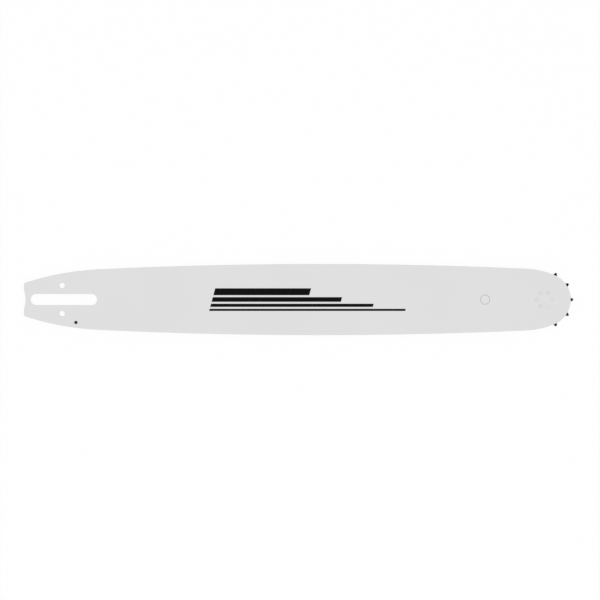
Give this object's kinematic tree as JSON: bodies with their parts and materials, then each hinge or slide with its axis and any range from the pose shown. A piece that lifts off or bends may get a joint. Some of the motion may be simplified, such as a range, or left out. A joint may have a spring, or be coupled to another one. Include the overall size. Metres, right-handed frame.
{
  "type": "chainsaw guide bar",
  "caption": "laminated chainsaw guide bar with grey painted side plates, a chain groove round the edge, a stud slot at the tail and a toothed sprocket wheel in the nose",
  "frame": {"origin": "middle of the stud slot, on the underside that the bar lies on", "axes": "+X along the bar from the tail to the nose, +Y across the bar, +Z out of the upper face"},
  "size_m": [0.5812, 0.0752, 0.0047],
  "materials": {
    "grey_paint": "satin",
    "bare_steel": "rolled",
    "black_steel": "blackened",
    "ground_steel": "ground"
  },
  "bodies": {
    "bar": {"side_plate_front": "grey_paint", "side_plate_back": "grey_paint", "middle_plate": "bare_steel", "bearing_race": "ground_steel", "nose_rivets": "grey_paint"},
    "sprocket": {"nose_sprocket": "black_steel"},
    "roller_row": {"roller_01": "ground_steel", "roller_02": "ground_steel", "roller_03": "ground_steel", "roller_04": "ground_steel", "roller_05": "ground_steel", "roller_06": "ground_steel", "roller_07": "ground_steel", "roller_08": "ground_steel", "roller_09": "ground_steel", "roller_10": "ground_steel", "roller_11": "ground_steel", "roller_12": "ground_steel", "roller_13": "ground_steel", "roller_14": "ground_steel", "roller_15": "ground_steel", "roller_16": "ground_steel"}
  },
  "joints": [
    {"name": "sprocket_spin", "type": "hinge", "parent": "bar", "child": "sprocket", "pos_m": [0.5083, 0, 0.00235], "axis": [0, 0, 1], "continuous": true},
    {"name": "roller_orbit", "type": "hinge", "parent": "bar", "child": "roller_row", "pos_m": [0.5083, 0, 0.00235], "axis": [0, 0, 1], "continuous": true}
  ],
  "couplings": [
    {"joint": "roller_orbit", "follows": "sprocket_spin", "ratio": 0.59402}
  ]
}
